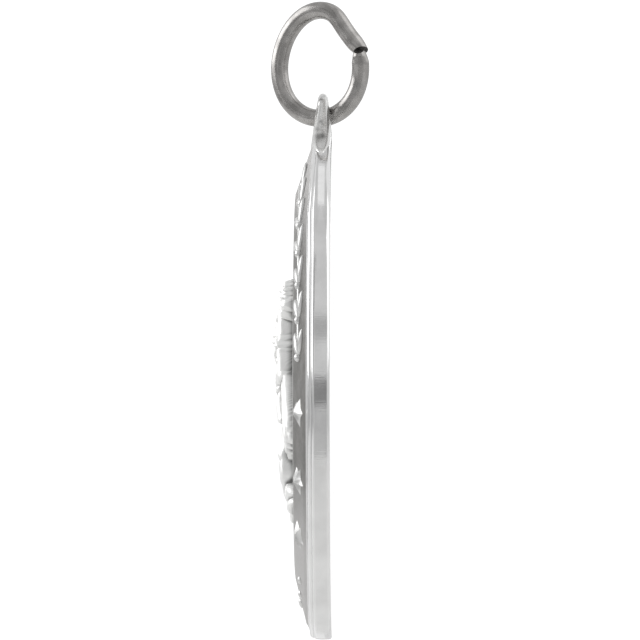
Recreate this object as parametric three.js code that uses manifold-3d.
// A round cast medal with a raised figure, hanging by its ear from a jump ring of round wire.
// Millimetres, +Z up, X across the medal, and the raised side faces along -Y.
// The origin is the inside of the ring's top, where a chain would carry it.

import * as THREE from 'three';
import { mergeVertices } from 'three/addons/utils/BufferGeometryUtils.js';
import Module from 'manifold-3d';

const wasm = await Module();
wasm.setup();

// Jump ring: outside sizes in its own plane, and its turn about Z from the medal's plane
const WIRE_DIAMETER = 0.76;
const RING_HEIGHT = 5.45;
const RING_WIDTH = 4.84;
const RING_TURN = 60;
const RING_EGG = 0.08;

// The flattened shoulder above the ring's joint, as a share of the width, in degrees round the ring
const SHOULDER_FLAT = 0.16;
const SHOULDER_ANGLE = 45;
const SHOULDER_SPREAD = 26;

// The upper end bent back out over the joint, as a share of the width and in degrees
const KICK = 0.1;
const KICK_SPREAD = 14;

// The ring's open butt joint
const JOINT_ANGLE = 9;
const JOINT_GAP = 0.14;
const UPPER_END_SHARE = 0.84;
const LOWER_END_SHARE = 0.7;
const END_TAPER_LENGTH = 0.5;

// Medal: heights are measured from its flat back
const MEDAL_DIAMETER = 22;
const BACK_SET_BACK = 0.535;
const BACK_BEVEL = 0.14;
const EDGE_HEIGHT = 0.63;
const RIM_STEP = 0.16;
const RIM_WIDTH = 0.5;
const RIM_HEIGHT = 1.06;
const BAND_WIDTH = 2.12;
const BAND_RISE = 0.52;
const FIELD_RISE = 0.02;
const FIELD_ROUNDING = 0.2;

// Ear: the loop on top of the medal, thinner at its tip, and the shoulders that carry it
const HOLE_CLEARANCE = 0.76;
const HANG_GAP = 0.12;
const SIDE_PLAY = 0.065;
const EAR_BAR = 0.57;
const EAR_RISE = 0.41;
const EAR_FILLET = 14;
const EAR_TIP_FRONT = 0.585;
const EAR_TIP_BACK = 0.185;
const EAR_FRONT_SLOPE = 0.18;
const EAR_BACK_SLOPE = 0.095;
const EAR_ROUNDING = 0.24;
const EAR_ROOT = 0.8;
const SHOULDER_INSET = 0.05;
const BACK_SKIN = 0.02;

// Ornament on the sloping band, spaced by angle round the medal
const SLOT_ANGLE = 9.7;
const GARLAND_PAIRS = 7;
const GARLAND_END = 8;
const LEAF_LENGTH = 1.3;
const LEAF_WIDTH = 0.46;
const LEAF_HEIGHT = 0.2;
const LEAF_SPLAY = 34;
const STEM_WIDTH = 0.18;
const BERRY_DIAMETER = 0.4;
const STAR_DIAMETER = 1.66;
const STAR_WAIST = 0.5;
const STAR_HEIGHT = 0.24;
const STAR_ANGLES = [-6, -24, -41];
const BEAD_DIAMETER = 0.46;
const BEAD_COUNT = 7;
const ORNAMENT_SINK = 0.06;

// Raised figure in the field: its height on the medal and its greatest relief
const FIGURE_HEIGHT = 10;
const FIGURE_RELIEF = 0.96;
const FIGURE_SINK = 0.3;

// How finely round forms are cut
const DISC_SIDES = 72;
const WIRE_SIDES = 12;
const WIRE_STEPS = 64;
const EAR_SIDES = 32;
const STEM_STEPS = 32;
const STROKE_SIDES = 10;
const STROKE_CAPS = 3;
const WAVE_SEGMENTS = 16;

const WIRE_RADIUS = WIRE_DIAMETER / 2;
const MEDAL_RADIUS = MEDAL_DIAMETER / 2;
const HOLE_RADIUS = (WIRE_DIAMETER + HOLE_CLEARANCE) / 2;
const EAR_RADIUS = HOLE_RADIUS + EAR_BAR;
const EAR_CENTRE = MEDAL_RADIUS + EAR_RISE;
const BAND_OUTER = MEDAL_RADIUS - RIM_WIDTH;
const BAND_INNER = BAND_OUTER - BAND_WIDTH;
const BAND_SLOPE = Math.atan2(BAND_RISE, BAND_WIDTH);
const FIELD_HEIGHT = RIM_HEIGHT + BAND_RISE + FIELD_RISE;
const ORNAMENT_RADIUS = (BAND_OUTER + BAND_INNER) / 2;

// Silver as the photo shows it: the medal bright and satin, the ring a little darker
const MEDAL_SILVER = new THREE.MeshStandardMaterial({
  color: 0xc9c8c6,
  roughness: 0.32,
  metalness: 1,
});
const RING_SILVER = new THREE.MeshStandardMaterial({
  color: 0xa9a8a5,
  roughness: 0.3,
  metalness: 1,
});

// The relief's strokes, each a soft ridge from one point to another. Places (x, y, toX, toY) and
// half widths (wide, toWide) are shares of the figure's height, with the field's centre at 0, 0.
// Heights (high, toHigh) are shares of its greatest relief.
const STROKES = [
  // The cloak behind the figure and its end blown to one side
  { x: 0.02, y: 0.11, toX: 0.07, toY: -0.17, wide: 0.17, toWide: 0.17, high: 0.5, toHigh: 0.46 },
  { x: 0.12, y: 0.08, toX: 0.24, toY: -0.1, wide: 0.06, toWide: 0.07, high: 0.56, toHigh: 0.42 },
  { x: 0.24, y: -0.1, toX: 0.29, toY: -0.22, wide: 0.06, toWide: 0.03, high: 0.42, toHigh: 0.26 },
  // Chest, waist and the skirt of the tunic
  { x: -0.01, y: 0.1, toX: 0, toY: 0.0, wide: 0.12, toWide: 0.1, high: 0.95, toHigh: 0.83 },
  { x: 0, y: -0.05, toX: 0, toY: -0.1, wide: 0.12, toWide: 0.14, high: 0.88, toHigh: 0.84 },
  // The near arm, bent up to the staff
  { x: -0.1, y: 0.11, toX: -0.19, toY: 0.01, wide: 0.055, toWide: 0.04, high: 0.84, toHigh: 0.72 },
  { x: -0.19, y: 0.01, toX: -0.255, toY: 0.085, wide: 0.038, toWide: 0.032, high: 0.72, toHigh: 0.7 },
  // The far arm, bent up to hold the child
  { x: 0.1, y: 0.12, toX: 0.19, toY: 0.05, wide: 0.055, toWide: 0.04, high: 0.82, toHigh: 0.7 },
  { x: 0.19, y: 0.05, toX: 0.17, toY: 0.18, wide: 0.038, toWide: 0.03, high: 0.7, toHigh: 0.72 },
  // The staff
  { x: -0.285, y: 0.34, toX: -0.215, toY: -0.5, wide: 0.018, toWide: 0.018, high: 0.5, toHigh: 0.5 },
  // Legs
  { x: -0.05, y: -0.14, toX: -0.09, toY: -0.31, wide: 0.058, toWide: 0.052, high: 0.64, toHigh: 0.76 },
  { x: -0.09, y: -0.31, toX: -0.06, toY: -0.47, wide: 0.05, toWide: 0.036, high: 0.76, toHigh: 0.6 },
  { x: 0.055, y: -0.14, toX: 0.1, toY: -0.32, wide: 0.058, toWide: 0.052, high: 0.62, toHigh: 0.74 },
  { x: 0.1, y: -0.32, toX: 0.09, toY: -0.48, wide: 0.05, toWide: 0.036, high: 0.74, toHigh: 0.56 },
  // Head, hair and beard
  { x: -0.02, y: 0.215, toX: -0.02, toY: 0.19, wide: 0.064, toWide: 0.06, high: 0.97, toHigh: 1 },
  { x: -0.02, y: 0.165, toX: -0.025, toY: 0.125, wide: 0.048, toWide: 0.03, high: 0.98, toHigh: 0.95 },
  // The child on the shoulder, with a small ball in one hand
  { x: 0.09, y: 0.23, toX: 0.095, toY: 0.33, wide: 0.066, toWide: 0.05, high: 0.8, toHigh: 0.7 },
  { x: 0.08, y: 0.24, toX: 0.07, toY: 0.13, wide: 0.034, toWide: 0.028, high: 0.86, toHigh: 0.88 },
  { x: 0.09, y: 0.435, toX: 0.09, toY: 0.425, wide: 0.046, toWide: 0.046, high: 0.61, toHigh: 0.62 },
  { x: 0.06, y: 0.33, toX: 0.0, toY: 0.29, wide: 0.026, toWide: 0.022, high: 0.7, toHigh: 0.7 },
  { x: 0.13, y: 0.33, toX: 0.185, toY: 0.3, wide: 0.026, toWide: 0.024, high: 0.66, toHigh: 0.56 },
  { x: 0.2, y: 0.335, toX: 0.2, toY: 0.33, wide: 0.034, toWide: 0.034, high: 0.56, toHigh: 0.56 },
];

// Folds of the tunic's skirt: how many each side of the middle, and their run
const FOLDS_EACH_SIDE = 2;
const FOLD = { y: -0.04, toY: -0.145, step: 0.034, toStep: 0.056, wide: 0.028, high: 0.9, toHigh: 0.82 };

// Waves that the figure wades through, from the highest down, and their half length
const WAVES = [
  { y: -0.45, high: 0.5, wide: 0.036, reach: 0.36 },
  { y: -0.5, high: 0.42, wide: 0.034, reach: 0.4 },
  { y: -0.545, high: 0.26, wide: 0.032, reach: 0.34 },
];
const WAVE_COUNT = 4;
const WAVE_SWING = 0.012;

// A closed solid for joining and cutting, from a three.js geometry
function solidOf(geometry) {
  const bare = geometry.clone();
  bare.deleteAttribute('normal');
  bare.deleteAttribute('uv');
  const merged = mergeVertices(bare, 1e-5);
  const index = Array.from(merged.index.array);
  const triangles = [];
  for (let i = 0; i < index.length; i += 3) {
    const [a, b, c] = index.slice(i, i + 3);
    if (a !== b && b !== c && c !== a) {
      triangles.push(a, b, c);
    }
  }
  const vertProperties = new Float32Array(merged.attributes.position.array);
  const triVerts = new Uint32Array(triangles);
  return new wasm.Manifold(new wasm.Mesh({ numProp: 3, vertProperties, triVerts }));
}

// A three.js geometry from a solid
function geometryOf(solid) {
  const mesh = solid.getMesh();
  const geometry = new THREE.BufferGeometry();
  geometry.setAttribute('position', new THREE.BufferAttribute(new Float32Array(mesh.vertProperties), 3));
  geometry.setIndex(new THREE.BufferAttribute(new Uint32Array(mesh.triVerts), 1));
  geometry.computeVertexNormals();
  return geometry;
}

// Moves every vertex of a geometry by a function of its place
function reshape(geometry, move) {
  const position = geometry.attributes.position;
  const point = new THREE.Vector3();
  for (let i = 0; i < position.count; i += 1) {
    point.fromBufferAttribute(position, i);
    move(point);
    position.setXYZ(i, point.x, point.y, point.z);
  }
  return geometry;
}

// Points of an arc, from one angle to another, both in degrees
function arcPoints(x, y, radius, from, to, steps) {
  const points = [];
  for (let i = 0; i <= steps; i += 1) {
    const angle = THREE.MathUtils.degToRad(from + ((to - from) * i) / steps);
    points.push(new THREE.Vector2(x + radius * Math.cos(angle), y + radius * Math.sin(angle)));
  }
  return points;
}

// The medal is built in its face's own frame: x across, y up, z from the flat back to the front.

// Disc, rim, sloping band and flat field, turned about the medal's centre
function discGeometry() {
  const edgeTop = EDGE_HEIGHT;
  const stepRadius = MEDAL_RADIUS - RIM_STEP / 2;
  const beadRadius = RIM_HEIGHT - edgeTop - RIM_STEP;
  const profile = [
    new THREE.Vector2(0, 0),
    ...arcPoints(MEDAL_RADIUS - BACK_BEVEL, BACK_BEVEL, BACK_BEVEL, -90, 0, 2),
    ...arcPoints(MEDAL_RADIUS - RIM_STEP, edgeTop, RIM_STEP, 0, 60, 2),
    ...arcPoints(stepRadius - beadRadius, edgeTop + RIM_STEP, beadRadius, 5, 80, 3),
    new THREE.Vector2(BAND_OUTER, RIM_HEIGHT),
    new THREE.Vector2(BAND_INNER, RIM_HEIGHT + BAND_RISE),
    new THREE.Vector2(BAND_INNER - FIELD_ROUNDING, FIELD_HEIGHT),
    new THREE.Vector2(0, FIELD_HEIGHT),
  ];
  return new THREE.LatheGeometry(profile, DISC_SIDES).rotateX(Math.PI / 2);
}

// A flat shape made as thick as the ear is at each height, with an inset from its two faces
function earSolid(shape, rounding, inset) {
  const geometry = new THREE.ExtrudeGeometry(shape, {
    depth: 0.4,
    curveSegments: EAR_SIDES / 2,
    bevelEnabled: rounding > 0,
    bevelThickness: 0.5,
    bevelSize: rounding,
    bevelOffset: -rounding,
    bevelSegments: 3,
  });
  geometry.computeBoundingBox();
  const { min, max } = geometry.boundingBox;
  const tip = EAR_CENTRE + EAR_RADIUS;
  return solidOf(reshape(geometry, (point) => {
    const share = (point.z - min.z) / (max.z - min.z);
    const below = tip - point.y;
    const back = EAR_TIP_BACK - EAR_BACK_SLOPE * below + inset;
    const front = EAR_TIP_FRONT + EAR_FRONT_SLOPE * below - inset;
    point.z = THREE.MathUtils.lerp(back, front, share);
  }));
}

// The ear's loop: a ring round its hole
function earLoop() {
  const loop = new THREE.Shape().absarc(0, EAR_CENTRE, EAR_RADIUS, 0, 2 * Math.PI);
  loop.holes.push(new THREE.Path().absarc(0, EAR_CENTRE, HOLE_RADIUS, 0, 2 * Math.PI));
  return earSolid(loop, EAR_ROUNDING, 0);
}

// The shoulders: one fillet each side, tangent to the loop and to the disc's edge
function earShoulders() {
  const reach = MEDAL_RADIUS + EAR_FILLET;
  const cosine = (EAR_CENTRE ** 2 + reach ** 2 - (EAR_RADIUS + EAR_FILLET) ** 2) / (2 * EAR_CENTRE * reach);
  const fromTop = Math.acos(cosine);
  const filletX = reach * Math.sin(fromTop);
  const filletY = reach * Math.cos(fromTop);
  const toDisc = THREE.MathUtils.radToDeg(Math.atan2(-filletY, -filletX));
  const toLoop = THREE.MathUtils.radToDeg(Math.atan2(EAR_CENTRE - filletY, -filletX));
  const right = arcPoints(filletX, filletY, EAR_FILLET, toDisc, toLoop, 10);
  const rootX = right[0].x;
  const outline = [
    new THREE.Vector2(rootX * (1 - EAR_ROOT / MEDAL_RADIUS), right[0].y - EAR_ROOT),
    ...right,
    ...right.map((point) => new THREE.Vector2(-point.x, point.y)).reverse(),
    new THREE.Vector2(-rootX * (1 - EAR_ROOT / MEDAL_RADIUS), right[0].y - EAR_ROOT),
  ];
  return earSolid(new THREE.Shape(outline), 0, SHOULDER_INSET);
}

// Disc, shoulders and loop, with the hole open and nothing behind the medal's flat back
function discWithEar() {
  const through = 4 * MEDAL_RADIUS;
  const drillRadius = HOLE_RADIUS + EAR_ROUNDING / 2;
  const drill = new THREE.CylinderGeometry(drillRadius, drillRadius, through, EAR_SIDES);
  drill.rotateX(Math.PI / 2).translate(0, EAR_CENTRE, 0);
  const behind = new THREE.BoxGeometry(through, through, through);
  behind.translate(0, EAR_CENTRE, BACK_SKIN - through / 2);
  const loop = earLoop().subtract(solidOf(behind));
  const shoulders = earShoulders().subtract(solidOf(behind));
  return solidOf(discGeometry()).add(shoulders).subtract(solidOf(drill)).add(loop);
}

// Height of the sloping band's ground at a distance from the centre
function bandHeight(radius) {
  return RIM_HEIGHT + (BAND_OUTER - radius) * Math.tan(BAND_SLOPE);
}

// Sets a small form, lying flat at 0, 0, on the band: angle round the medal and turn on the spot
function setOnBand(geometry, angle, turn, radius = ORNAMENT_RADIUS) {
  const place = new THREE.Matrix4().makeTranslation(0, radius, bandHeight(radius));
  const lean = new THREE.Matrix4().makeRotationX(-BAND_SLOPE);
  const spin = new THREE.Matrix4().makeRotationZ(THREE.MathUtils.degToRad(turn));
  const round = new THREE.Matrix4().makeRotationZ(THREE.MathUtils.degToRad(angle - 90));
  return geometry.applyMatrix4(round.multiply(place).multiply(lean).multiply(spin));
}

// A leaf along +X with its stalk at 0, 0, thick along its midrib
function leafGeometry() {
  const half = LEAF_LENGTH / 2;
  const leaf = new THREE.OctahedronGeometry(1, 1);
  leaf.scale(half, LEAF_WIDTH / 2, LEAF_HEIGHT);
  return leaf.translate(half, 0, 0);
}

// A low dome for berries and beads
function domeGeometry(diameter) {
  return new THREE.OctahedronGeometry(diameter / 2, 1);
}

// A five-pointed star, ridged from its middle to each point
function starGeometry() {
  const star = new THREE.ConeGeometry(STAR_DIAMETER / 2, STAR_HEIGHT + ORNAMENT_SINK, 10);
  star.translate(0, (STAR_HEIGHT + ORNAMENT_SINK) / 2 - ORNAMENT_SINK, 0);
  star.rotateX(Math.PI / 2);
  const waist = (point) => {
    const corner = Math.round((Math.atan2(point.x, point.y) * 5) / Math.PI);
    if (corner % 2 !== 0) {
      point.x *= STAR_WAIST;
      point.y *= STAR_WAIST;
    }
  };
  return reshape(star, waist);
}

// The thin stem of one side of the garland
class StemCurve extends THREE.Curve {
  constructor(from, to) {
    super();
    this.from = from;
    this.to = to;
  }

  getPoint(share, target = new THREE.Vector3()) {
    const angle = THREE.MathUtils.degToRad(THREE.MathUtils.lerp(this.from, this.to, share));
    const height = bandHeight(ORNAMENT_RADIUS);
    return target.set(ORNAMENT_RADIUS * Math.cos(angle), ORNAMENT_RADIUS * Math.sin(angle), height);
  }
}

function stemGeometry(from, to) {
  const half = STEM_WIDTH / 2;
  const section = new THREE.Shape([
    new THREE.Vector2(-half, 0),
    new THREE.Vector2(0, -half),
    new THREE.Vector2(half, 0),
    new THREE.Vector2(0, half),
  ]);
  const path = new StemCurve(from, to);
  return new THREE.ExtrudeGeometry(section, { steps: STEM_STEPS, extrudePath: path, bevelEnabled: false });
}

// Everything raised on the band, right and left sides mirrored about the middle
function ornaments() {
  const forms = [];
  for (const side of [1, -1]) {
    const across = (angle) => (side > 0 ? angle : 180 - angle);
    const last = GARLAND_END + (GARLAND_PAIRS - 1) * SLOT_ANGLE;
    forms.push(stemGeometry(across(GARLAND_END), across(last)));
    for (let i = 0; i < GARLAND_PAIRS; i += 1) {
      const angle = across(GARLAND_END + i * SLOT_ANGLE);
      const ahead = side > 0 ? 180 : 0;
      for (const splay of [LEAF_SPLAY, -LEAF_SPLAY]) {
        forms.push(setOnBand(leafGeometry(), angle, ahead + splay));
      }
      forms.push(setOnBand(domeGeometry(BERRY_DIAMETER), angle, 0));
    }
    for (const angle of STAR_ANGLES) {
      forms.push(setOnBand(starGeometry(), across(angle), 0));
    }
  }
  for (let i = 0; i < BEAD_COUNT; i += 1) {
    const fromMiddle = (i - (BEAD_COUNT - 1) / 2) * SLOT_ANGLE;
    forms.push(setOnBand(domeGeometry(BEAD_DIAMETER), -90 + fromMiddle, 0));
  }
  forms.push(setOnBand(domeGeometry(BEAD_DIAMETER), 90, 0));
  return forms.map(solidOf);
}

// One stroke as a solid: a capsule along X, then as wide and as high as the stroke is at each place
function strokeSolid(stroke, segments = 1) {
  const start = new THREE.Vector2(stroke.x, stroke.y).multiplyScalar(FIGURE_HEIGHT);
  const end = new THREE.Vector2(stroke.toX, stroke.toY).multiplyScalar(FIGURE_HEIGHT);
  const length = start.distanceTo(end);
  const capsule = new THREE.CapsuleGeometry(1, length, STROKE_CAPS, STROKE_SIDES, segments);
  capsule.rotateZ(-Math.PI / 2).translate(length / 2, 0, 0);
  reshape(capsule, (point) => {
    const along = THREE.MathUtils.clamp(point.x, 0, length);
    const share = along / length;
    const wide = THREE.MathUtils.lerp(stroke.wide, stroke.toWide, share) * FIGURE_HEIGHT;
    const high = THREE.MathUtils.lerp(stroke.high, stroke.toHigh, share) * FIGURE_RELIEF;
    const sway = (stroke.sway ?? 0) * FIGURE_HEIGHT;
    point.x = along + (point.x - along) * wide;
    point.y = point.y * wide + sway * Math.sin(2 * Math.PI * WAVE_COUNT * share);
    point.z = Math.max(point.z * high, -FIGURE_SINK);
  });
  capsule.rotateZ(end.sub(start).angle()).translate(start.x, start.y, FIELD_HEIGHT);
  return solidOf(capsule);
}

// Folds of the tunic's skirt, fanned out from the belt
function foldSolids() {
  const folds = [];
  for (let i = -FOLDS_EACH_SIDE; i <= FOLDS_EACH_SIDE; i += 1) {
    folds.push(strokeSolid({ ...FOLD, x: i * FOLD.step, toX: i * FOLD.toStep, toWide: FOLD.wide }));
  }
  return folds;
}

// Waves across the foot of the figure
function waveSolids() {
  return WAVES.map((wave) => strokeSolid({
    ...wave,
    x: -wave.reach,
    toX: wave.reach,
    toY: wave.y,
    toWide: wave.wide,
    toHigh: wave.high,
    sway: WAVE_SWING,
  }, WAVE_SEGMENTS));
}

// The casting as one solid
function medalGeometry() {
  const pieces = [...STROKES.map((stroke) => strokeSolid(stroke)), ...foldSolids(), ...waveSolids(), ...ornaments()];
  return geometryOf(pieces.reduce((whole, piece) => whole.add(piece), discWithEar()));
}

// The ring's centre line in its own plane: x across, y up, from the upper end round to the lower
class RingCurve extends THREE.Curve {
  getPoint(along, target = new THREE.Vector3()) {
    const halfWidth = RING_WIDTH / 2 - WIRE_RADIUS;
    const halfHeight = RING_HEIGHT / 2 - WIRE_RADIUS;
    const open = THREE.MathUtils.radToDeg(JOINT_GAP / halfWidth) / 2;
    const degrees = THREE.MathUtils.lerp(JOINT_ANGLE + open, JOINT_ANGLE + 360 - open, along);
    const angle = THREE.MathUtils.degToRad(degrees);
    const flat = SHOULDER_FLAT * Math.exp(-(((degrees - SHOULDER_ANGLE) / SHOULDER_SPREAD) ** 2));
    const kick = KICK * Math.exp(-(((degrees - JOINT_ANGLE) / KICK_SPREAD) ** 2));
    const share = 1 - RING_EGG * Math.sin(angle) - flat + kick;
    return target.set(halfWidth * Math.cos(angle) * share, halfHeight * Math.sin(angle), 0);
  }
}

// Round wire along that line, its two cut ends a little thinner
function ringGeometry() {
  const section = new THREE.Shape();
  section.absarc(0, 0, WIRE_RADIUS, 0, 2 * Math.PI);
  const path = new RingCurve();
  const wire = new THREE.ExtrudeGeometry(section, {
    steps: WIRE_STEPS,
    curveSegments: WIRE_SIDES / 2,
    extrudePath: path,
    bevelEnabled: false,
  });
  const stations = path.getSpacedPoints(WIRE_STEPS);
  const length = path.getLength();
  return reshape(wire, (point) => {
    let nearest = 0;
    for (let i = 1; i <= WIRE_STEPS; i += 1) {
      if (point.distanceToSquared(stations[i]) < point.distanceToSquared(stations[nearest])) {
        nearest = i;
      }
    }
    const fromUpper = (length * nearest) / WIRE_STEPS;
    const fromLower = length - fromUpper;
    const upper = THREE.MathUtils.lerp(UPPER_END_SHARE, 1, Math.min(1, fromUpper / END_TAPER_LENGTH));
    const lower = THREE.MathUtils.lerp(LOWER_END_SHARE, 1, Math.min(1, fromLower / END_TAPER_LENGTH));
    point.lerpVectors(stations[nearest], point, upper * lower);
  });
}

const ringCentre = WIRE_DIAMETER - RING_HEIGHT / 2;
const wireBottom = WIRE_DIAMETER - RING_HEIGHT + WIRE_RADIUS;
const holeCentre = wireBottom + WIRE_RADIUS + HANG_GAP - HOLE_RADIUS;

// The ear stands a little behind the ring's middle, so it sits sideways where the wire crosses it
const ringTurn = THREE.MathUtils.degToRad(RING_TURN);
const wireBelowTip = EAR_BAR + HANG_GAP + WIRE_RADIUS;
const earFront = EAR_TIP_FRONT + EAR_FRONT_SLOPE * wireBelowTip;
const earBack = EAR_TIP_BACK - EAR_BACK_SLOPE * wireBelowTip;
const earSetBack = BACK_SET_BACK - (earFront + earBack) / 2;

const ring = new THREE.Mesh(ringGeometry(), RING_SILVER);
ring.name = 'jump_ring';
ring.rotation.x = Math.PI / 2;

const turnedRing = new THREE.Group();
turnedRing.rotation.z = ringTurn;
turnedRing.position.z = ringCentre;
turnedRing.add(ring);

const medal = new THREE.Mesh(medalGeometry(), MEDAL_SILVER);
medal.name = 'medal';
medal.rotation.x = Math.PI / 2;
medal.position.set(earSetBack / Math.tan(ringTurn) + SIDE_PLAY, BACK_SET_BACK, holeCentre - EAR_CENTRE);

const group = new THREE.Group();
group.add(turnedRing, medal);

export default group;
